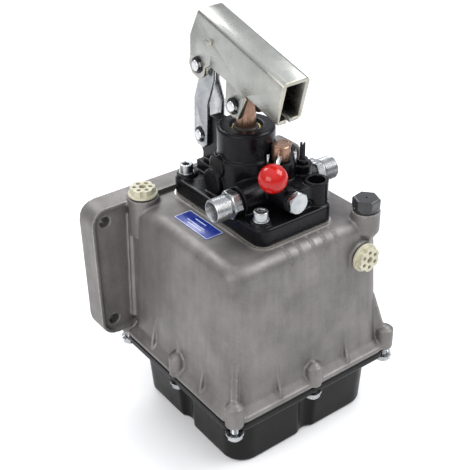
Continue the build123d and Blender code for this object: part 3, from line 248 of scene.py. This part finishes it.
finishes = {
    "cast_aluminium": surface(
        "cast_aluminium",
        tone(0.118, 0.111, 0.107),
        tone(0.192, 0.181, 0.174),
        0.55,
        (0.40, 0.56),
        patch=0.045,
        grain=0.0007,
        depth=0.00012,
        speckle=0.2,
        run=0.09,
        # painted shade darkening the grooves, corners and hollows
        painted_shade=tone(0.05, 0.046, 0.042),
        painted_shade_reach=0.014,
        painted_shade_share=0.5,
        edge=tone(0.50, 0.49, 0.48),
        edge_radius=0.004,
        edge_share=0.6,
    ),
    "pan_black": surface(
        "pan_black",
        tone(0.0025, 0.0024, 0.0025),
        tone(0.006, 0.0058, 0.006),
        0.0,
        (0.28, 0.40),
        grain=0.0009,
        depth=0.00006,
        ior=1.24,
        edge=tone(0.025, 0.025, 0.026),
        edge_radius=0.002,
    ),
    "body_black": surface(
        "body_black",
        tone(0.002, 0.002, 0.003),
        tone(0.005, 0.005, 0.006),
        0.0,
        (0.16, 0.30),
        ior=1.24,
        patch=0.02,
        grain=0.0011,
        depth=0.00013,
        edge=tone(0.028, 0.026, 0.026),
        edge_radius=0.0014,
        edge_share=0.4,
    ),
    "zinc": surface(
        "zinc",
        tone(0.30, 0.31, 0.32),
        tone(0.46, 0.47, 0.47),
        1.0,
        (0.22, 0.36),
        patch=0.012,
        grain=0.0006,
        depth=0.00001,
        streak=(0.0004, (1, 1, 0.05)),
        round_edges=0.0004,
    ),
    "zinc_yellow": surface(
        "zinc_yellow",
        tone(0.27, 0.275, 0.26),
        tone(0.38, 0.38, 0.35),
        1.0,
        (0.26, 0.38),
        patch=0.035,
        grain=0.0008,
        depth=0.00002,
        edge=tone(0.66, 0.58, 0.38),
        edge_radius=0.004,
        edge_share=0.7,
        # painted shade darkening the channel's inside and corners
        painted_shade=tone(0.05, 0.045, 0.04),
        painted_shade_reach=0.03,
        painted_shade_share=0.8,
        streak=(0.0006, (1, 0.06, 1)),
        round_edges=0.0006,
    ),
    "bronze": surface(
        "bronze",
        tone(0.20, 0.115, 0.08),
        tone(0.34, 0.21, 0.15),
        0.9,
        (0.24, 0.36),
        patch=0.008,
        grain=0.0005,
        depth=0.00001,
        streak=(0.0003, (0.05, 0.05, 1)),
        edge=tone(0.62, 0.46, 0.36),
        edge_radius=0.001,
        round_edges=0.0005,
    ),
    "brass": surface(
        "brass",
        tone(0.45, 0.30, 0.10),
        tone(0.62, 0.44, 0.18),
        1.0,
        (0.22, 0.34),
        patch=0.006,
        grain=0.0005,
        depth=0.00001,
        streak=(0.0003, (0.05, 0.05, 1)),
    ),
    "chrome": surface(
        "chrome",
        tone(0.74, 0.75, 0.77),
        tone(0.82, 0.83, 0.84),
        1.0,
        (0.06, 0.14),
        patch=0.006,
        grain=0.0005,
        depth=0.000004,
    ),
    "knob_red": surface(
        "knob_red",
        tone(0.34, 0.004, 0.003),
        tone(0.42, 0.006, 0.004),
        0.0,
        (0.08, 0.14),
        patch=0.02,
        grain=0.002,
        depth=0.00001,
        coat=0.15,
        ior=1.38,
    ),
    "black_oxide": surface(
        "black_oxide",
        tone(0.012, 0.012, 0.013),
        tone(0.035, 0.035, 0.038),
        0.8,
        (0.28, 0.42),
        patch=0.004,
        grain=0.0005,
        depth=0.00001,
        edge=tone(0.16, 0.16, 0.17),
        edge_radius=0.0006,
    ),
    "steel": surface(
        "steel",
        tone(0.50, 0.50, 0.51),
        tone(0.62, 0.62, 0.63),
        1.0,
        (0.16, 0.28),
        patch=0.006,
        grain=0.0004,
        depth=0.00001,
        round_edges=0.0003,
    ),
    "cast_iron": surface(
        "cast_iron", tone(0.16, 0.16, 0.165), tone(0.24, 0.24, 0.25), 0.9, (0.35, 0.5), patch=0.01
    ),
    "rubber": surface(
        "rubber",
        tone(0.010, 0.010, 0.010),
        tone(0.020, 0.020, 0.020),
        0.0,
        (0.55, 0.7),
        patch=0.01,
        depth=0.00002,
    ),
    "gasket": surface(
        "gasket",
        tone(0.10, 0.095, 0.085),
        tone(0.16, 0.15, 0.135),
        0.0,
        (0.7, 0.85),
        patch=0.008,
        grain=0.0005,
        depth=0.00005,
        speckle=0.2,
    ),
    "plug_cream": surface(
        "plug_cream",
        tone(0.36, 0.34, 0.24),
        tone(0.50, 0.48, 0.36),
        0.0,
        (0.30, 0.42),
        patch=0.01,
        grain=0.001,
        depth=0.00002,
        coat=0.15,
    ),
    "cap_black": surface(
        "cap_black",
        tone(0.012, 0.012, 0.013),
        tone(0.022, 0.022, 0.024),
        0.0,
        (0.24, 0.36),
        patch=0.01,
        grain=0.0007,
        depth=0.00003,
        coat=0.1,
        edge=tone(0.07, 0.07, 0.075),
        edge_radius=0.001,
    ),
    "label_blue": surface(
        "label_blue",
        tone(0.005, 0.020, 0.20),
        tone(0.009, 0.032, 0.27),
        0.0,
        (0.22, 0.34),
        patch=0.015,
        grain=0.002,
        depth=0.00001,
        coat=0.3,
    ),
    "strainer_mesh": surface(
        "strainer_mesh",
        tone(0.25, 0.25, 0.23),
        tone(0.55, 0.55, 0.5),
        1.0,
        (0.3, 0.45),
        patch=0.001,
        grain=0.0006,
        depth=0.0002,
        speckle=0.5,
    ),
}
label_print = surface(
    "label_print",
    tone(0.50, 0.58, 0.78),
    tone(0.70, 0.76, 0.88),
    0.0,
    (0.3, 0.4),
    patch=0.006,
    grain=0.001,
    depth=0.00001,
)

for node, piece in frame["nodes"].items():
    piece.data.materials.clear()
    piece.data.materials.append(finishes[slot_of[node]])


# ----------------------------------------------------------------- mesh tools
def new_piece(name, mesh, node, material=None):
    """Object for a mesh that stands for a CAD node or rides with it."""
    piece = bpy.data.objects.new(name, mesh)
    bpy.context.scene.collection.objects.link(piece)
    mesh.materials.clear()
    mesh.materials.append(material or finishes[slot_of[node]])
    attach(piece, body_of[node])
    return piece


def cleaned(node):
    """Copy of a CAD node's mesh, with its split points joined and flats made whole."""
    work = bmesh.new()
    work.from_mesh(frame["nodes"][node].data)
    bmesh.ops.remove_doubles(work, verts=work.verts, dist=0.002 * MM)
    bmesh.ops.dissolve_limit(
        work, angle_limit=radians(0.5), verts=work.verts, edges=work.edges
    )
    mesh = bpy.data.meshes.new(node)
    work.to_mesh(mesh)
    work.free()
    return mesh


def applied(mesh, modifiers):
    """The mesh after a list of (kind, settings) modifiers."""
    holder = bpy.data.objects.new("holder", mesh)
    bpy.context.scene.collection.objects.link(holder)
    for kind, settings in modifiers:
        modifier = holder.modifiers.new(kind, kind)
        for key, value in settings.items():
            setattr(modifier, key, value)
    graph = bpy.context.evaluated_depsgraph_get()
    result = bpy.data.meshes.new_from_object(holder.evaluated_get(graph))
    bpy.data.objects.remove(holder)
    return result


def shade(mesh, angle):
    """Smooth shading, broken where faces meet at more than angle degrees."""
    mesh.polygons.foreach_set("use_smooth", [True] * len(mesh.polygons))
    mesh.set_sharp_from_angle(angle=radians(angle))


def soften(node, width, name, segments=2):
    """Replaces a CAD node by a copy whose edges are rounded off by width."""
    bevel = {
        "width": width,
        "segments": segments,
        "limit_method": "ANGLE",
        "angle_limit": radians(32),
        "use_clamp_overlap": True,
        "miter_outer": "MITER_ARC",
        "harden_normals": True,
    }
    mesh = applied(cleaned(node), [("BEVEL", bevel)])
    shade(mesh, 40)
    piece = new_piece(name, mesh, node)
    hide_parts(node)
    return piece


def cast(node, voxel, passes, name, keep=0.5):
    """Replaces a CAD node by a copy with every edge and corner softened as a casting's are."""
    steps = [
        ("REMESH", {"mode": "VOXEL", "voxel_size": voxel, "adaptivity": 0.0}),
        ("SMOOTH", {"factor": 0.5, "iterations": passes}),
        ("DECIMATE", {"ratio": keep}),
    ]
    mesh = applied(cleaned(node), steps)
    shade(mesh, 60)
    piece = new_piece(name, mesh, node)
    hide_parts(node)
    return piece


# ------------------------------------------------------------------- castings
cast("tank", 1.0 * MM, 3, "tank_casting", keep=0.3)
cast("pump_body", 0.8 * MM, 6, "pump_casting", keep=0.45)
cast("lower_pan", 1.2 * MM, 3, "pan_casting", keep=0.35)
cast("filler_plug", 0.35 * MM, 3, "filler_grip", keep=0.6)
cast("level_plug", 0.35 * MM, 3, "level_grip", keep=0.6)
cast("breather_cap", 0.35 * MM, 3, "breather_grip", keep=0.6)

# ---------------------------------------------------------- pressed and turned
soften("lever_socket", 0.6 * MM, "lever_channel")
soften("link_left", 0.5 * MM, "link_plate_left")
soften("link_right", 0.5 * MM, "link_plate_right")
soften("piston_rod", 0.5 * MM, "rod_turned")
soften("rod_gland", 0.4 * MM, "gland_turned")
soften("release_spool", 0.5 * MM, "release_cap")
soften("release_rod", 0.2 * MM, "release_stem")
soften("delivery_plug", 0.4 * MM, "delivery_cap")
soften("relief_adjuster", 0.2 * MM, "relief_stud")
soften("relief_locknut", 0.3 * MM, "relief_nut")
soften("body_washers", 0.2 * MM, "head_washers")
soften("pan_washers", 0.2 * MM, "flange_washers")
soften("nameplate", 0.15 * MM, "label_plate")
soften("rod_pin", 0.2 * MM, "rod_pin_turned")
soften("upper_link_pin", 0.2 * MM, "upper_pin_turned")
soften("lower_link_pin", 0.2 * MM, "lower_pin_turned")
soften("link_spacers", 0.3 * MM, "spacer_tubes")
soften("rod_pin_circlips", 0.12 * MM, "rod_pin_rings")
soften("link_circlips", 0.12 * MM, "link_pin_rings")
soften("stop_pins", 0.3 * MM, "stop_pins_rounded")
soften("set_screw", 0.2 * MM, "set_screw_turned")
soften("rod_wiper", 0.2 * MM, "wiper_lip")
soften("suction_plug_seal", 0.25 * MM, "suction_ring")
soften("port_seal_rings", 0.3 * MM, "port_rings")
soften("breather_seal", 0.25 * MM, "breather_ring_seal")
soften("filler_seal", 0.25 * MM, "filler_ring")
soften("level_seal", 0.25 * MM, "level_ring")
soften("suction_tube", 0.2 * MM, "suction_pipe")
soften("suction_strainer", 0.3 * MM, "strainer_can")


# ------------------------------------------------------------------- hardware
def hexagon(flats, angle):
    """Distance from the middle to a hexagon's outline at an angle from a corner."""
    return flats / 2 / cos((angle % (pi / 3)) - pi / 6)


def ring_reach(radius, shape, height, angle):
    """Distance of a ring's point from the axis. The shape is None for round, or
    ("hex", flats), or ("thread", pitch, depth)."""
    if shape and shape[0] == "hex":
        return min(radius, hexagon(shape[1], angle))
    if shape and shape[0] == "thread":
        phase = (height / shape[1] + angle / tau) % 1.0
        return radius - shape[2] * abs(2 * phase - 1)
    return radius


def turned(rings, origin, axis, segments=72, turn=0.0, through=False):
    """Mesh of rings (height, radius, shape) about an axis, in millimetres from a point in metres.
    Its ends are capped, or joined to each other where a hole goes through."""
    axis = Vector(axis).normalized()
    side = Vector((1, 0, 0)) if abs(axis.z) > 0.9 else Vector((0, 0, 1)).cross(axis).normalized()
    other = axis.cross(side)
    work = bmesh.new()
    loops = []
    for height, radius, shape in rings:
        loop = []
        for step in range(segments):
            angle = step * tau / segments
            reach = ring_reach(radius, shape, height, angle) * MM
            way = side * cos(angle + turn) + other * sin(angle + turn)
            loop.append(work.verts.new(Vector(origin) + axis * height * MM + way * reach))
        loops.append(loop)
    pairs = list(zip(loops, loops[1:]))
    if through:
        pairs.append((loops[-1], loops[0]))
    else:
        work.faces.new(reversed(loops[0]))
        work.faces.new(loops[-1])
    for low, high in pairs:
        for step in range(segments):
            after = (step + 1) % segments
            work.faces.new((low[step], low[after], high[after], high[step]))
    bmesh.ops.recalc_face_normals(work, faces=work.faces)
    mesh = bpy.data.meshes.new("turned")
    work.to_mesh(mesh)
    work.free()
    return mesh


def joined(meshes):
    """One mesh of several."""
    work = bmesh.new()
    for mesh in meshes:
        work.from_mesh(mesh)
    whole = bpy.data.meshes.new("joined")
    work.to_mesh(whole)
    work.free()
    return whole


def stand_in(name, meshes, node, angle=35):
    """Piece made of several meshes that replaces a CAD node."""
    mesh = joined(meshes)
    shade(mesh, angle)
    piece = new_piece(name, mesh, node)
    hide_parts(node)
    return piece


def middle(node):
    """Middle of a CAD node's box."""
    low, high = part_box(node)
    return (low + high) / 2


def round_end(height, radius, rounding, sign, steps=4):
    """Rings of a rounded outer edge that ends at height; sign is the way it faces."""
    rings = []
    for step in range(steps + 1):
        angle = step / steps * pi / 2
        inward = rounding * (1 - cos(angle))
        rings.append((height - sign * rounding * (1 - sin(angle)), radius - inward, None))
    return rings


THREAD_STEPS = 6            # rings in one turn of a thread


def threaded(start, end, radius, pitch, depth):
    """Rings of a screw thread from start to end."""
    count = int((end - start) / pitch * THREAD_STEPS)
    heights = [start + (end - start) * step / count for step in range(count + 1)]
    return [(height, radius, ("thread", pitch, depth)) for height in heights]


def hex_head(start, end, flats, lead):
    """Rings of a hexagon head from start to end, with its corners turned off at the end."""
    across = ("hex", flats)
    corner = flats / 2 / cos(pi / 6)
    rings = [(start, flats / 2 - 0.3, None), (start, flats / 2, None), (start + 0.3, corner, across)]
    for step in range(5):
        share = step / 4
        rings.append((end - lead * (1 - share), corner - (corner - flats / 2 + 0.4) * share, across))
    return rings


BOLT_HEAD = 6.5             # radius of an M8 socket head
BOLT_HEAD_HEIGHT = 8.0
BOLT_KEY = 6.0              # across the flats of its socket
M8 = 4.0
M8_PITCH = 1.25
M8_DEPTH = 0.7


def socket_bolt(point, head, length):
    """Socket-head bolt that stands on its tip."""
    top = length + head
    rings = [(0, M8 - 0.9, None)] + threaded(0.6, length - 6, M8, M8_PITCH, M8_DEPTH)
    rings += [(length - 5.5, M8, None), (length, M8, None), (length, BOLT_HEAD - 0.3, None)]
    rings += [(length + 0.3, BOLT_HEAD, None)] + round_end(top, BOLT_HEAD, 1.0, 1)
    key = ("hex", BOLT_KEY)
    rings += [(top, 3.8, None), (top - 0.4, 3.47, key), (top - 4.4, 3.47, key), (top - 5.2, 0.8, None)]
    return turned(rings, point, (0, 0, 1))


low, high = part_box("body_bolts")
bolt_length = (high.z - low.z) / MM - BOLT_HEAD_HEIGHT
stand_in(
    "head_bolts",
    [
        socket_bolt((x, y, low.z), BOLT_HEAD_HEIGHT, bolt_length)
        for x in (low.x + BOLT_HEAD * MM, high.x - BOLT_HEAD * MM)
        for y in (low.y + BOLT_HEAD * MM, high.y - BOLT_HEAD * MM)
    ],
    "body_bolts",
)

PAN_FLATS = 13.0
PAN_HEAD = 5.3


def hex_screw(point, length):
    """Hexagon-head screw that hangs head down from its tip."""
    rings = [(0, M8 - 0.9, None)] + threaded(0.6, length - 1, M8, M8_PITCH, M8_DEPTH)
    rings += [(length, M8, None)] + hex_head(length, length + PAN_HEAD, PAN_FLATS, 1.0)
    rings += [(length + PAN_HEAD - 0.25, 4.2, None), (length + PAN_HEAD - 0.25, 0.5, None)]
    return turned(rings, point, (0, 0, -1), segments=48)


low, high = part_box("pan_screws")
screw_length = (high.z - low.z) / MM - PAN_HEAD
corner_reach = hexagon(PAN_FLATS, 0) * MM
side_reach = PAN_FLATS / 2 * MM
screw_columns = (low.x + corner_reach, 0, high.x - corner_reach)
screw_rows = (low.y + side_reach, 0, high.y - side_reach)
stand_in(
    "flange_screws",
    [
        hex_screw((x, y, high.z), screw_length)
        for x in screw_columns
        for y in screw_rows
        if (x, y) != (0, 0)
    ],
    "pan_screws",
)

STUD = 9.0                  # radius of the adapter's end in the pump head
STUD_LENGTH = 10.0
STUD_DEPTH = 0.6            # of its thread
RING_THICK = 2.0            # seal ring between the pump head and the hexagon
PORT_HEX = 24.0             # across the flats
HEX_LENGTH = 8.0
PORT_THREAD = 11.0          # radius of the hose thread
PORT_PITCH = 1.5
PORT_DEPTH = 0.75
PORT_BORE = 5.5             # radius
PORT_CONE = 9.0             # radius of the cone's mouth
CONE_DEPTH = 8.0


def port_adapter(name, node, side):
    """Double-ended adapter: stud, hexagon, neck, thread and the sealing cone in its mouth."""
    low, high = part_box(node)
    face = low.x + STUD_LENGTH * MM if side > 0 else high.x - STUD_LENGTH * MM
    tip = (high.x - low.x) / MM - STUD_LENGTH
    neck = RING_THICK + HEX_LENGTH
    rings = [(-STUD_LENGTH, STUD - 0.8, None)]
    rings += threaded(-STUD_LENGTH + 0.8, -1, STUD, PORT_PITCH, STUD_DEPTH)
    rings += [(0, STUD, None), (RING_THICK, STUD, None)]
    rings += hex_head(RING_THICK, neck, PORT_HEX, 1.6)
    rings += [(neck, PORT_THREAD - 0.9, None), (neck + 1.8, PORT_THREAD - 0.9, None)]
    rings += threaded(neck + 2.2, tip - 1.2, PORT_THREAD, PORT_PITCH, PORT_DEPTH)
    rings += [(tip - 1.0, PORT_THREAD - 0.4, None), (tip, PORT_THREAD - 1.4, None)]
    rings += [(tip, PORT_CONE, None), (tip - CONE_DEPTH, PORT_BORE, None)]
    rings += [(-STUD_LENGTH, PORT_BORE, None)]
    centre = middle(node)
    mesh = turned(rings, (face, centre.y, centre.z), (side, 0, 0), segments=96, through=True)
    stand_in(name, [mesh], node)


port_adapter("port_fitting_left", "left_port_adapter", -1)
port_adapter("port_fitting_right", "right_port_adapter", 1)

PLUG_FLATS = 19.0
PLUG_HEAD = 5.0             # height of its hexagon
PLUG_SEAL = 1.5             # smooth stretch through the sealing ring
PLUG_SHANK = 7.0            # radius
PLUG_PITCH = 1.5
PLUG_DEPTH = 0.7
low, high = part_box("suction_plug")
plug_span = (high.y - low.y) / MM
plug_centre = middle("suction_plug")
plug_head = plug_span - PLUG_HEAD
plug_rings = [(0, PLUG_SHANK - 0.8, None)]
plug_rings += threaded(0.8, plug_head - PLUG_SEAL - 1, PLUG_SHANK, PLUG_PITCH, PLUG_DEPTH)
plug_rings += [(plug_head, PLUG_SHANK, None)] + hex_head(plug_head, plug_span, PLUG_FLATS, 1.3)
plug_rings += [(plug_span - 0.2, 7.0, None), (plug_span - 0.2, 0.5, None)]
stand_in(
    "suction_cap",
    [turned(plug_rings, (plug_centre.x, high.y, plug_centre.z), (0, -1, 0), turn=pi / 6)],
    "suction_plug",
)

KNOB = 12.85
KNOB_FLAT = 11.7            # the flat round the stem, from the knob's middle
STEM = 2.62                 # radius of the stem's hole
STEM_REACH = 41.5           # valve to knob, seen from above
STEM_DROOP = 6.5
KNOB_STEPS = 40             # rings from pole to pole
knob_centre = middle("release_knob")
spool_centre = middle("release_spool")
away = knob_centre - spool_centre
away.z = -away.xy.length * STEM_DROOP / STEM_REACH
knob_rings = [(-KNOB_FLAT + 6, STEM, None), (-KNOB_FLAT, STEM, None), (-KNOB_FLAT - 0.5, 3.2, None)]
knob_rings += [(-KNOB_FLAT - 0.5, 4.0, None)]
for step in range(3, KNOB_STEPS):
    angle = pi - step * pi / KNOB_STEPS
    knob_rings.append((KNOB * cos(angle), KNOB * sin(angle), None))
knob_rings.append((KNOB * 0.9995, 0.3, None))
stand_in("release_ball", [turned(knob_rings, knob_centre, away, segments=80)], "release_knob", angle=60)


# ---------------------------------------------------------------- thin details
def outline(width, depth, corner, steps=8):
    """Points of a rounded rectangle about the origin, in metres."""
    points = []
    for quarter in range(4):
        sign_x = 1 if quarter in (0, 3) else -1
        sign_y = 1 if quarter in (0, 1) else -1
        for step in range(steps + 1):
            angle = (quarter + step / steps) * pi / 2
            points.append(
                (
                    sign_x * (width / 2 - corner) + corner * cos(angle),
                    sign_y * (depth / 2 - corner) + corner * sin(angle),
                )
            )
    return points


def flat_frame(outer, inner, centre, low, high):
    """Mesh of a flat frame between two outlines with as many points each."""
    work = bmesh.new()
    loops = []
    for points, height in ((outer, low), (outer, high), (inner, high), (inner, low)):
        loops.append([work.verts.new((centre[0] + x, centre[1] + y, height)) for x, y in points])
    count = len(outer)
    for number, loop in enumerate(loops):
        following = loops[(number + 1) % 4]
        for step in range(count):
            after = (step + 1) % count
            work.faces.new((loop[step], loop[after], following[after], following[step]))
    bmesh.ops.recalc_face_normals(work, faces=work.faces)
    mesh = bpy.data.meshes.new("frame")
    work.to_mesh(mesh)
    work.free()
    return mesh


# The machined face of the pad shows as a bright line round the pump's base.
PAD_MARGIN = 1.5 * MM
BASE_CORNER = 12 * MM
low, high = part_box("body_gasket")
base_width = high.x - low.x
base_depth = high.y - low.y
rim = flat_frame(
    outline(base_width + 2 * PAD_MARGIN, base_depth + 2 * PAD_MARGIN, BASE_CORNER + PAD_MARGIN),
    outline(base_width - 4 * MM, base_depth - 4 * MM, BASE_CORNER - 2 * MM),
    middle("body_gasket"),
    low.z - 0.6 * MM,
    low.z + 0.08 * MM,
)
shade(rim, 30)
machined = surface(
    "machined_aluminium",
    tone(0.55, 0.53, 0.49),
    tone(0.75, 0.73, 0.69),
    1.0,
    (0.25, 0.4),
    patch=0.01,
    grain=0.0005,
    depth=0.00001,
)
new_piece("machined_rim", rim, "tank", machined)

# The label has a bare border and a few plain bars instead of lettering.
low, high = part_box("nameplate")
label_centre = middle("nameplate")
label_width = high.x - low.x
label_depth = high.y - low.y
PRINT = 0.05 * MM
BORDER = 0.7 * MM
border = flat_frame(
    outline(label_width - 0.4 * MM, label_depth - 0.4 * MM, 0.9 * MM, 3),
    outline(label_width - 2 * BORDER, label_depth - 2 * BORDER, 0.6 * MM, 3),
    label_centre,
    high.z - PRINT,
    high.z + PRINT,
)
bars = [
    flat_frame(
        outline(width * MM, length * MM, 0.3 * MM, 2),
        outline(width * MM * 0.2, length * MM * 0.9, 0.02 * MM, 2),
        label_centre + Vector((across, along, 0)) * MM,
        high.z - PRINT,
        high.z + PRINT,
    )
    for across, along, width, length in ((4.0, 2, 1.0, 16), (-1.5, 2, 0.8, 26), (-4.5, 0, 0.8, 20))
]
marks = joined([border] + bars)
shade(marks, 30)
new_piece("label_marks", marks, "nameplate", label_print)


# -------------------------------------------------------------- floor and light
def area_light(name, point, aim, size, power, colour=(1, 1, 1)):
    lamp = bpy.data.lights.new(name, "AREA")
    lamp.shape = "RECTANGLE"
    lamp.size, lamp.size_y = size
    lamp.energy = power
    lamp.color = colour
    light = bpy.data.objects.new(name, lamp)
    bpy.context.scene.collection.objects.link(light)
    way = Vector(aim) - Vector(point)
    light.rotation_mode = "QUATERNION"
    light.rotation_quaternion = way.to_track_quat("-Z", "Y")
    light.location = point


FLOOR_HALF = 12.0
SKY_LOW = 0.3               # brightness of the surroundings at the horizon
SKY_HIGH = 1.6              # and overhead


def make_stage():
    """Pale floor, even surrounding light and three soft lamps."""
    floor_mesh = bpy.data.meshes.new("floor")
    half = FLOOR_HALF
    corners = [(-half, -half, 0), (half, -half, 0), (half, half, 0), (-half, half, 0)]
    floor_mesh.from_pydata(corners, [], [(0, 1, 2, 3)])
    floor = bpy.data.objects.new("floor", floor_mesh)
    bpy.context.scene.collection.objects.link(floor)
    floor_mesh.materials.append(
        surface(
            "floor_paper",
            tone(0.84, 0.84, 0.84),
            tone(0.86, 0.86, 0.86),
            0.0,
            (0.7, 0.8),
            patch=0.5,
            depth=0.00001,
        )
    )
    floor.location.z = cad_low.z
    world = bpy.data.worlds.new("studio")
    world.use_nodes = True
    tree = world.node_tree
    split = tree.nodes.new("ShaderNodeSeparateXYZ")
    tree.links.new(tree.nodes.new("ShaderNodeTexCoord").outputs["Generated"], split.inputs[0])
    rise = tree.nodes.new("ShaderNodeMapRange")
    tree.links.new(split.outputs["Z"], rise.inputs["Value"])
    rise.inputs["To Min"].default_value = SKY_LOW
    rise.inputs["To Max"].default_value = SKY_HIGH
    tree.nodes["Background"].inputs["Color"].default_value = tone(0.93, 0.95, 1.0)
    tree.links.new(rise.outputs[0], tree.nodes["Background"].inputs["Strength"])
    bpy.context.scene.world = world
    centre = (cad_low + cad_high) / 2
    area_light("key", centre + Vector((0.75, -0.55, 1.0)), centre, (0.8, 0.8), 14)
    area_light("left", centre + Vector((-1.1, -0.3, 0.5)), centre, (0.9, 0.6), 7, (1.0, 0.96, 0.9))
    area_light("back", centre + Vector((0.1, 1.0, 0.9)), centre, (1.0, 0.5), 9)


make_stage()
bpy.context.scene.view_settings.view_transform = "Standard"
